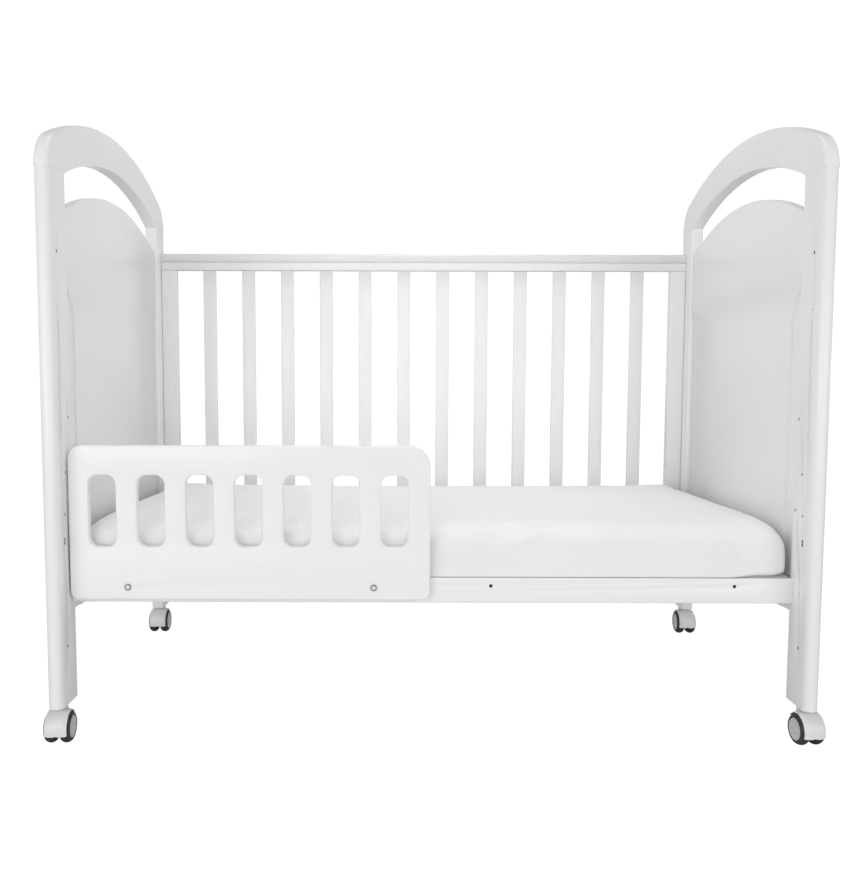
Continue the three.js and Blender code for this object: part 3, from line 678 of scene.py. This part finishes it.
def socket_nut(name, x, y, z, radius, inward):
    """A cross-dowel's end, sunk a little below the post's inner face."""
    profile = [
        (1.6 * MM, 0),
        (1.6 * MM, radius * 0.45),
        (0.9 * MM, radius * 0.55),
        (0.7 * MM, radius * 0.9),
        (1.0 * MM, radius),
        (8 * MM, radius),
        (8 * MM, 0),
    ]
    nut = lathe(profile, 28)
    turn = Matrix.Identity(4) if inward < 0 else Matrix.Rotation(math.pi, 4, "Z")
    place(nut, Matrix.Translation((x, y, z)) @ turn)
    mesh, steel = to_mesh(nut, "nut"), MATERIALS["dark_steel"]
    piece = new_piece(name, mesh, steel, "bed_frame")
    smooth(piece)


def sockets():
    for side in SIDES:
        inward = 1 if side == "left" else -1
        for row, places in (("front", FRONT_SOCKETS), ("rear", REAR_SOCKETS)):
            low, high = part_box(f"{side}_{row}_post")
            face = high.x if side == "left" else low.x
            for i, (depth, height, radius) in enumerate(places, 1):
                y = low.y + depth * MM if row == "front" else high.y - depth * MM
                nut = (radius - NUT_CLEARANCE) * MM
                socket_nut(f"{side}_{row}_nut_{i}", face, y, height * MM, nut, inward)
        low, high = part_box(f"{side}_front_post")
        face = high.x if side == "left" else low.x
        depth, bottom, top, radius = LONG_SOCKET
        y, nut = low.y + depth * MM, (radius - LONG_NUT_CLEARANCE) * MM
        for i, height in enumerate((bottom + radius, top - radius), 1):
            socket_nut(f"{side}_long_nut_{i}", face, y, height * MM, nut, inward)


# ---- mattress and fitted sheet ------------------------------------------------------------------

SHEET_GAP = 1.0 * MM
SHEET_THICKNESS = 0.8 * MM
SHEET_TUCK = 70 * MM
CORE_INSET = 3.5 * MM
CORE_ROUNDING = 38 * MM
CORE_CORNER = 22 * MM
CORE_BOTTOM_ROUNDING = 5 * MM
SWELL_CAP = 5.5 * MM
END_BELLY = 15 * MM
END_FILL = 9.5 * MM  # the ends press out towards the panels
FRONT_BELLY = 5 * MM
HEM_BAND = 13 * MM
FRONT_FALL = 15 * MM
FRONT_FALL_DEPTH = 130 * MM
CORE_SLACK = 2.3 * MM
SIDE_LEAN_POWER = 24  # how closely the lean of a side keeps to that side
TOP_SLOPE = 17.5 * MM  # how much lower the top is at the rear
CORE_VOXEL = 12 * MM
SWELL_FRAMES = 20
HELD_BAND = 4 * MM  # this much above the slats doesn't swell
SEAT_DEPTH = 20 * MM  # the front's lower edge, as far back as it is pressed down on the rail
SEAT_END = 60 * MM  # the rounded ends, which aren't pressed down
SEAT_BLEND = 40 * MM
CREASE_DEPTH = 1.5
CREASE_REACH = 0.16  # creases fade out this far behind the front
GATHER_REACH = 0.055  # gathers fade out this far from a corner
GATHERS = 60
FLAT_BELOW_SHEET = 0.2  # how much of its waves the sheet keeps under the mattress
SHEET_LEAST = 0.4 * MM
# Creases on the front, in metres: start and end as (along x, up and over the edge), width, height.
CREASES = (
    ((0.085, 0.076), (0.165, 0.104), 0.0070, 0.0030),
    ((0.120, 0.052), (0.215, 0.086), 0.0060, 0.0020),
    ((0.150, 0.094), (0.235, 0.112), 0.0060, 0.0022),
    ((0.475, 0.064), (0.540, 0.016), 0.0085, 0.0036),
    ((0.520, 0.072), (0.568, 0.010), 0.0075, 0.0030),
    ((0.560, 0.090), (0.612, 0.044), 0.0080, 0.0024),
    ((-0.300, 0.075), (-0.215, 0.092), 0.0070, 0.0020),
    ((0.330, 0.080), (0.395, 0.098), 0.0065, 0.0018),
)


def round_edges(bm, edges, radius, segments):
    bmesh.ops.bevel(
        bm, geom=edges, offset=radius, segments=segments, profile=0.5, affect="EDGES"
    )


def core_start(low, high):
    """The mattress before it swells: its space, drawn in all round, with the slope of its top."""
    bm = bmesh.new()
    bmesh.ops.create_cube(bm, size=1.0)
    span = (high - low) / 2 - Vector((CORE_INSET, CORE_INSET, CORE_INSET / 2))
    middle = (low + high) / 2
    lift = (SHEET_GAP + SHEET_THICKNESS - CORE_INSET / 2) / 2
    middle.z += lift
    span.z -= lift
    for vertex in bm.verts:
        over = vertex.co.z > 0
        vertex.co = middle + Vector(c * 2 * d for c, d in zip(vertex.co, span))
        if over and vertex.co.y > middle.y:
            vertex.co.z -= TOP_SLOPE
    upright = [e for e in bm.edges if abs(e.verts[0].co.z - e.verts[1].co.z) > span.z]
    round_edges(bm, upright, CORE_CORNER, 6)
    top = [e for e in bm.edges if min(v.co.z for v in e.verts) > middle.z]
    bottom = [e for e in bm.edges if max(v.co.z for v in e.verts) < middle.z]
    round_edges(bm, top, CORE_ROUNDING, 5)
    round_edges(bm, bottom, CORE_BOTTOM_ROUNDING, 3)
    return to_mesh(bm, "mattress_core")


def voxel_remesh(obj, size):
    remesh = obj.modifiers.new("remesh", "REMESH")
    remesh.mode = "VOXEL"
    remesh.voxel_size = size
    bake_modifiers(obj)


def bake_modifiers(obj):
    graph = bpy.context.evaluated_depsgraph_get()
    solid = bpy.data.meshes.new_from_object(obj.evaluated_get(graph))
    obj.modifiers.clear()
    obj.data = solid


def swell(obj, floor_z):
    """Air pressure swells the core above the slats; what rests on them stays put."""
    before = [v.co.copy() for v in obj.data.vertices]
    rest = obj.vertex_groups.new(name="rest")
    rest.add([i for i, co in enumerate(before) if co.z < floor_z + HELD_BAND], 1.0, "REPLACE")
    cloth = obj.modifiers.new("swelling", "CLOTH")
    settings = cloth.settings
    settings.quality = 4
    settings.mass = 0.3
    settings.tension_stiffness = settings.compression_stiffness = 12
    settings.bending_stiffness = 4
    settings.use_pressure = True
    settings.uniform_pressure_force = 4
    settings.effector_weights.gravity = 0
    settings.vertex_group_mass = "rest"
    cloth.point_cache.frame_start, cloth.point_cache.frame_end = 1, SWELL_FRAMES
    for step in range(1, SWELL_FRAMES + 1):
        SCENE.frame_set(step)
    bake_modifiers(obj)
    SCENE.frame_set(1)
    for vertex, start in zip(obj.data.vertices, before):
        move = vertex.co - start
        if move.length > 1e-9:
            vertex.co = start + move.normalized() * SWELL_CAP * math.tanh(move.length / SWELL_CAP)


def crease_height(along, over):
    """How high the creases stand at a place on the front: ridges with a shallow trough beside them."""
    total = 0.0
    for start, end, width, height in CREASES:
        ax, ay = along - start[0], over - start[1]
        bx, by = end[0] - start[0], end[1] - start[1]
        t = (ax * bx + ay * by) / (bx * bx + by * by)
        if -0.3 < t < 1.3:
            off = math.hypot(ax - bx * t, ay - by * t) / width
            taper = math.cos((t - 0.5) * math.pi / 1.6) ** 2
            total += height * taper * (math.exp(-off * off) - 0.35 * math.exp(-((off - 1.9) ** 2)))
    return total


def wrinkle(place_m, low, high):
    """How far the sheet stands off the core: soft waves, creases in front and gathers at the hem."""
    x, y, z = place_m
    wave = noise.noise(Vector((x * 7, y * 7, z * 7))) * 0.6 * MM
    wave += noise.noise(Vector((x * 24, y * 24, z * 18))) * 0.25 * MM
    over = z - low.z + max(0.0, y - low.y - CORE_ROUNDING)
    front = max(0.0, 1 - (y - low.y) / CREASE_REACH)
    wave += CREASE_DEPTH * crease_height(x, over) * front
    to_corner = math.hypot(high.x - abs(x), min(y - low.y, high.y - y))
    gather = math.exp(-((to_corner / GATHER_REACH) ** 2)) * 0.8 * MM
    wave += gather * math.sin(math.atan2(y - (low.y + high.y) / 2, abs(x) - 0.6) * GATHERS)
    inward = min(high.x - abs(x), y - low.y, high.y - y)
    if z < low.z + 6 * MM and inward > 0.03:
        wave *= FLAT_BELOW_SHEET
    return wave


def subdivided(obj):
    """A mesh one subdivision finer than the object's own."""
    finer = obj.modifiers.new("finer", "SUBSURF")
    finer.levels = finer.render_levels = 1
    mesh = bpy.data.meshes.new_from_object(obj.evaluated_get(bpy.context.evaluated_depsgraph_get()))
    obj.modifiers.remove(finer)
    return mesh


def fitted_sheet(core, low, high):
    """A sheet stretched over the core: down all sides and tucked under, open below."""
    bm = bmesh.new()
    bm.from_mesh(subdivided(core))
    bm.normal_update()
    tucked = []
    for face in bm.faces:
        centre = face.calc_center_median()
        inward = min(high.x - abs(centre.x), centre.y - low.y, high.y - centre.y)
        if centre.z < low.z + 5 * MM and inward > SHEET_TUCK:
            tucked.append(face)
    bmesh.ops.delete(bm, geom=tucked, context="FACES")
    bm.normal_update()
    for vertex in bm.verts:
        off = SHEET_GAP + wrinkle(vertex.co, low, high)
        if vertex.normal.z < -0.5:
            off = SHEET_GAP * 0.5
        vertex.co += vertex.normal * max(SHEET_LEAST, off)
    mesh = to_mesh(bm, "fitted_sheet")
    sheet = new_piece("fitted_sheet", mesh, MATERIALS["sheet"], "mattress")
    cloth = sheet.modifiers.new("cloth_thickness", "SOLIDIFY")
    cloth.thickness = SHEET_THICKNESS
    cloth.offset = 1.0
    for polygon in sheet.data.polygons:
        polygon.use_smooth = True
    return sheet


def belly(mesh, low, high):
    """The soft sides lean out towards the middle of their height, most at the ends."""
    middle = (low + high) / 2
    for vertex in mesh.vertices:
        rise = (vertex.co.z - low.z) / (high.z - low.z)
        lean = math.sin(math.pi * min(1.0, max(0.0, rise * 1.05 + 0.12))) - 0.75
        for k, most, out in ((0, END_BELLY, END_FILL), (1, FRONT_BELLY, 0.0)):
            share = abs(vertex.co[k] - middle[k]) / ((high[k] - low[k]) / 2)
            move = (most * lean + out) * share ** SIDE_LEAN_POWER
            vertex.co[k] += math.copysign(move, vertex.co[k] - middle[k])


def soften_front(mesh, low, high):
    """The top falls away in a long soft curve towards the front edge."""
    for vertex in mesh.vertices:
        t = 1 - (vertex.co.y - low.y) / FRONT_FALL_DEPTH
        if t > 0:
            rise = max(0.0, (vertex.co.z - low.z) / (high.z - low.z))
            vertex.co.z -= FRONT_FALL * t * t * rise


def seat_front(mesh, low, high, floor_z):
    """The front's lower edge sits down on the base rail, between the rounded ends."""
    for vertex in mesh.vertices:
        along = min(1.0, max(0.0, (high.x - SEAT_END - abs(vertex.co.x)) / SEAT_BLEND))
        if vertex.co.z < floor_z + HEM_BAND and vertex.co.y < low.y + SEAT_DEPTH:
            vertex.co.z += (floor_z - vertex.co.z) * along
            vertex.co.y += (low.y + CORE_SLACK - vertex.co.y) * along


def keep_inside(mesh, low, high):
    for vertex in mesh.vertices:
        for k in range(3):
            vertex.co[k] = min(max(vertex.co[k], low[k]), high[k])


def mattress():
    low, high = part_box("mattress")
    under_sheet = SHEET_GAP + SHEET_THICKNESS
    block = core_start(low, high)
    core = new_piece("mattress_core", block, MATERIALS["ticking"], "mattress")
    voxel_remesh(core, CORE_VOXEL)
    swell(core, low.z + under_sheet)
    belly(core.data, low, high)
    soften_front(core.data, low, high)
    seat_front(core.data, low, high, low.z + under_sheet)
    lowest = low + Vector((CORE_SLACK, CORE_SLACK, under_sheet))
    keep_inside(core.data, lowest, high - Vector((CORE_SLACK,) * 3))
    for polygon in core.data.polygons:
        polygon.use_smooth = True
    sheet = fitted_sheet(core, low, high)
    finer = core.modifiers.new("finer", "SUBSURF")
    finer.levels = finer.render_levels = 1
    for piece in (core, sheet):
        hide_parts("mattress")


# ---- casters ------------------------------------------------------------------------------------

WHEEL_RADIUS = 28 * MM
WHEEL_HALF_WIDTH = 9.9 * MM
HUB_RADIUS = 20 * MM
TYRE_SEAT = HUB_RADIUS + 0.15 * MM
TYRE_ROUNDNESS = 1.85  # 2 is an ellipse, less is a more pointed tread
HUB_BORE = 3.15 * MM
HOOD_HALF_WIDTH = 19.6 * MM
HOOD_RADIUS = 32 * MM


def joint(name):
    return next(j for j in frame["joints"] if j["name"] == name)


def axle_matrix(caster):
    """The caster's axle frame: x along the axle, z up, origin in the middle between the wheels."""
    left, right = (joint(f"{caster}_{side}_roll") for side in SIDES)
    middle = (Vector(left["pos_m"]) + Vector(right["pos_m"])) / 2
    axle = Vector(left["axis"]).normalized()
    turn = Matrix.Rotation(math.atan2(axle.y, axle.x), 4, "Z")
    return Matrix.Translation(middle) @ turn


def tyre_profile():
    """Closed profile: from the hub seat over the rounded tread to the inner side and back."""
    r, w, seat = WHEEL_RADIUS, WHEEL_HALF_WIDTH, TYRE_SEAT
    points = [(w - 3 * MM, seat - 2 * MM), (w - 0.9 * MM, seat)]
    for i in range(25):
        turn = math.radians(88 - 176 * i / 24)
        across = math.copysign(abs(math.sin(turn)) ** (2 / TYRE_ROUNDNESS), math.sin(turn))
        rise = abs(math.cos(turn)) ** (2 / TYRE_ROUNDNESS)
        points.append((w * across, seat + 0.4 * MM + (r - seat - 0.4 * MM) * rise))
    points += [
        (-w + 0.8 * MM, seat - 3 * MM),
        (-w + 0.8 * MM, 12 * MM),
        (-w + 3 * MM, 11 * MM),
        (w - 3 * MM, 11 * MM),
    ]
    return points + [points[0]]


def hub_profile():
    """The moulded disc: a shallow dished face with a raised rim and two turned rings."""
    w = WHEEL_HALF_WIDTH
    face = w - 0.9 * MM
    rim = HUB_RADIUS
    return [
        (face - 0.9 * MM, 0),
        (face - 0.9 * MM, 4.6 * MM),
        (face - 0.3 * MM, 5.2 * MM),
        (face - 0.3 * MM, 6.6 * MM),
        (face - 1.1 * MM, 7.4 * MM),
        (face - 0.9 * MM, 15.2 * MM),
        (face - 0.2 * MM, 16.4 * MM),
        (face + 0.3 * MM, 18.0 * MM),
        (face + 0.2 * MM, rim - 0.8 * MM),
        (face - 0.6 * MM, rim),
        (w - 2.6 * MM, rim - 1.6 * MM),
        (w - 5.0 * MM, rim - 2.5 * MM),
        (w - 5.0 * MM, 3.4 * MM),
        (-w + 1.0 * MM, 3.4 * MM),
        (-w + 1.0 * MM, HUB_BORE),
        (w - 4.8 * MM, HUB_BORE),
        (w - 4.8 * MM, 0),
    ]


def wheel(caster, side):
    body = f"{caster}_{side}_wheel"
    node = f"{caster}_caster_{side}_wheel"
    sign = 1 if side == "right" else -1
    spin = joint(f"{caster}_{side}_roll")
    turn = axle_matrix(caster).to_3x3().to_4x4()
    matrix = Matrix.Translation(spin["pos_m"]) @ turn @ Matrix.Diagonal((sign, 1, 1, 1))
    parts = (("tyre", tyre_profile(), MATERIALS["tyre"], "caster_tyre"),
             ("hub", hub_profile(), MATERIALS["hub"], "caster_hub"))
    for label, profile, material, slot in parts:
        bm = lathe(profile, 72)
        place(bm, matrix)
        bmesh.ops.recalc_face_normals(bm, faces=bm.faces)
        piece = new_piece(f"{caster}_{side}_{label}", to_mesh(bm, label), material, body)
        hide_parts(node)
        smooth(piece)


HOOD_START = -16.0  # degrees about the axle, from level in front, up over the top
HOOD_STOP = 142.0
HOOD_INNER_RADIUS = 28.6 * MM
HOOD_DROP = 2.5 * MM  # how much lower the hood is at its sides
HOOD_VALLEY = 0.7 * MM  # the groove between the wheels
HOOD_VALLEY_REACH = 55  # degrees up from the front edge
HOOD_LIP = 0.7 * MM  # the step above the front edge
HOOD_LIP_PLACE = 9
HOOD_LIP_WIDTH = 3.5
HOOD_NOTCH = 1.2  # degrees
HOOD_ROUNDING = 0.7 * MM
WEB_HALF = 2.9 * MM
AXLE_BOSS_RADIUS = 9 * MM
COLLAR_BORE = 4.4 * MM
COLLAR_DEPTH = 9 * MM


def hood_radius(across, turn):
    """The hood's outer radius: rounded off to both sides, with a groove in the middle in front."""
    u = across / HOOD_HALF_WIDTH
    shoulder = HOOD_DROP * abs(u) ** 4
    low = max(0.0, 1 - (turn - HOOD_START) / HOOD_VALLEY_REACH)
    valley = HOOD_VALLEY * low * math.exp(-(u / 0.16) ** 2)
    lip = HOOD_LIP * math.exp(-((turn - HOOD_START - HOOD_LIP_PLACE) / HOOD_LIP_WIDTH) ** 2)
    return HOOD_RADIUS - shoulder - valley - lip


def hood_edge(across):
    """Where the hood ends in front, a little higher between the wheels than over them."""
    u = across / HOOD_HALF_WIDTH
    return HOOD_START + HOOD_NOTCH * math.exp(-(u / 0.15) ** 2)


def hood_shell():
    """A cover around the top and front of both wheels, as a closed shell."""
    bm = bmesh.new()
    across_steps, turn_steps = 36, 44
    layers = []
    for layer in (0, 1):
        grid = []
        for i in range(across_steps + 1):
            u = -1 + 2 * i / across_steps
            across = HOOD_HALF_WIDTH * math.copysign(abs(u) ** 0.85, u)
            start = hood_edge(across)
            row = []
            for k in range(turn_steps + 1):
                turn = start + (HOOD_STOP - start) * k / turn_steps
                radius = HOOD_INNER_RADIUS if layer else hood_radius(across, turn)
                angle = math.radians(turn)
                spot = (across, -radius * math.cos(angle), radius * math.sin(angle))
                row.append(bm.verts.new(spot))
            grid.append(row)
        layers.append(grid)
    outer, inner = layers
    for i in range(across_steps):
        for k in range(turn_steps):
            bm.faces.new((outer[i][k], outer[i + 1][k], outer[i + 1][k + 1], outer[i][k + 1]))
            bm.faces.new((inner[i][k], inner[i][k + 1], inner[i + 1][k + 1], inner[i + 1][k]))
    for i in range(across_steps):
        for k in (0, turn_steps):
            bm.faces.new((outer[i][k], outer[i + 1][k], inner[i + 1][k], inner[i][k]))
    for k in range(turn_steps):
        for i in (0, across_steps):
            bm.faces.new((outer[i][k], outer[i][k + 1], inner[i][k + 1], inner[i][k]))
    bmesh.ops.recalc_face_normals(bm, faces=bm.faces)
    return bm


def collar(caster, axle):
    """The socket for the stem: its foot is shaped to the hood that it stands on."""
    stem = Vector(joint(f"{caster}_swivel")["pos_m"])
    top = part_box(f"{caster}_caster_hood")[1].z
    foot = WHEEL_RADIUS
    profile = [
        (foot, 0),
        (foot, 11 * MM),
        (foot + 5 * MM, 9.8 * MM),
        (top - 1.2 * MM, 9.4 * MM),
        (top, 8.6 * MM),
        (top, COLLAR_BORE),
        (top - COLLAR_DEPTH, COLLAR_BORE),
        (top - COLLAR_DEPTH, 0),
    ]
    bm = lathe(round_profile(profile, {2: 2 * MM, 3: 0.8 * MM}), 48)
    place(bm, Matrix.Translation((stem.x, stem.y, 0)) @ Matrix.Rotation(-math.pi / 2, 4, "Y"))
    into_axle = axle.inverted()
    for vertex in bm.verts:
        local = into_axle @ vertex.co
        seat = math.sqrt(max(0.0, (HOOD_RADIUS - 1.2 * MM) ** 2 - local.y ** 2))
        if local.z < seat:
            vertex.co.z += seat - local.z
    clean(bm)
    return bm


def web():
    """The plate between the wheels: it fills the hood's arc and ends in a boss round the axle."""
    outline = arc((0, 0), HOOD_RADIUS - 1.5 * MM, 180 - HOOD_START - 6, 180 - HOOD_STOP, 40)
    outline += arc((0, 0), AXLE_BOSS_RADIUS, 20, -190, 20)
    bm = plate("web", [outline], 2 * WEB_HALF, 0.6 * MM, 2)
    place(bm, Matrix(((0, 0, 1, 0), (1, 0, 0, 0), (0, 1, 0, 0), (0, 0, 0, 1))))
    return bm


def hood(caster):
    body, node = f"{caster}_caster", f"{caster}_caster_hood"
    axle = axle_matrix(caster)
    shell, plate_between = hood_shell(), web()
    place(shell, axle)
    place(plate_between, axle)
    for label, bm in (("hood", shell), ("web", plate_between), ("collar", collar(caster, axle))):
        bmesh.ops.recalc_face_normals(bm, faces=bm.faces)
        mesh = to_mesh(bm, label)
        piece = new_piece(f"{caster}_{label}", mesh, MATERIALS["hood"], body)
        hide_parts(node)
        if label == "hood":
            rounding = piece.modifiers.new("rounding", "BEVEL")
            rounding.limit_method = "ANGLE"
            rounding.angle_limit = math.radians(50)
            rounding.width = HOOD_ROUNDING
            rounding.segments = 2
        smooth(piece)


# ---- studio -------------------------------------------------------------------------------------

HORIZON_LIGHT = 0.97  # the white cyclorama all round
ZENITH_LIGHT = 0.3
BACKDROP = 1.05  # what the camera sees behind and below the bed
FRONT_LAMP_SIZE = (2.2, 1.6)
FRONT_LAMP_AIM = (0, 0, 0.5)
KEY_POWER = 28
FILL_POWER = 20


def area_light(name, place_m, aim, size, power):
    data = bpy.data.lights.new(name, "AREA")
    data.shape = "RECTANGLE"
    data.size, data.size_y = size
    data.energy = power
    lamp = bpy.data.objects.new(name, data)
    ROOT.objects.link(lamp)
    lamp.location = place_m
    lamp.rotation_euler = (Vector(aim) - Vector(place_m)).to_track_quat("-Z", "Y").to_euler()
    return data


def seen_by_camera(tree, unseen, seen):
    """A shader that the camera sees as one thing while the bed is lit by another."""
    path = tree.nodes.new("ShaderNodeLightPath")
    mix = tree.nodes.new("ShaderNodeMixShader")
    tree.links.new(path.outputs["Is Camera Ray"], mix.inputs["Fac"])
    tree.links.new(unseen, mix.inputs[1])
    tree.links.new(seen, mix.inputs[2])
    return mix.outputs[0]


def studio_world():
    world = bpy.data.worlds.new("studio")
    SCENE.world = world
    world.use_nodes = True
    tree = world.node_tree
    fill = tree.nodes["Background"]
    fill.inputs["Color"].default_value = (1, 1, 1, 1)
    coords = tree.nodes.new("ShaderNodeTexCoord")
    split = tree.nodes.new("ShaderNodeSeparateXYZ")
    height = tree.nodes.new("ShaderNodeMapRange")
    for index, value in enumerate((0.0, 0.8, HORIZON_LIGHT, ZENITH_LIGHT)):
        height.inputs[index + 1].default_value = value
    tree.links.new(coords.outputs["Generated"], split.inputs[0])
    tree.links.new(split.outputs["Z"], height.inputs[0])
    tree.links.new(height.outputs[0], fill.inputs["Strength"])
    seen = tree.nodes.new("ShaderNodeBackground")
    seen.inputs["Color"].default_value = (1, 1, 1, 1)
    seen.inputs["Strength"].default_value = BACKDROP
    mixed = seen_by_camera(tree, fill.outputs[0], seen.outputs[0])
    tree.links.new(mixed, tree.nodes["World Output"].inputs["Surface"])


def studio_floor():
    shader = Shader("studio_floor", Specular_IOR_Level=0.1, Roughness=0.9)
    shader.colour(shader.mix(shader.noise(2.0), (0.90, 0.90, 0.90), (0.88, 0.88, 0.88)))
    glow = shader.node("ShaderNodeEmission")
    glow.inputs["Strength"].default_value = BACKDROP
    mixed = seen_by_camera(shader.tree, shader.bsdf.outputs[0], glow.outputs[0])
    shader.link(mixed, shader.tree.nodes["Material Output"].inputs["Surface"])
    bm = bmesh.new()
    bmesh.ops.create_grid(bm, x_segments=2, y_segments=2, size=30)
    floor = bpy.data.objects.new("floor", to_mesh(bm, "floor"))
    ROOT.objects.link(floor)
    paint(floor, shader.material)


def studio():
    studio_world()
    studio_floor()
    area_light("key", (-1.7, -3.2, 1.0), FRONT_LAMP_AIM, FRONT_LAMP_SIZE, KEY_POWER)
    area_light("fill", (2.0, -3.2, 0.9), FRONT_LAMP_AIM, FRONT_LAMP_SIZE, FILL_POWER)
    inside = area_light("inside", (0, 0, 2.3), (0, 0, 0.4), (1.2, 0.6), 2.5)
    inside.spread = math.radians(62)
    SCENE.view_settings.view_transform = "Standard"


# ---- the whole scene ----------------------------------------------------------------------------

make_camera()
dress_nodes()
for end_side in SIDES:
    crest_rail(end_side)
guard_rail()
for number, x in enumerate(BOLTS, 1):
    guard_bolt(number, MIDDLE_X + x)
for number, x in enumerate(FREE_HOLES, 1):
    free_hole_sleeve(number, MIDDLE_X + x)
sockets()
mattress()
for caster_name in CASTERS:
    hood(caster_name)
    for wheel_side in SIDES:
        wheel(caster_name, wheel_side)
studio()
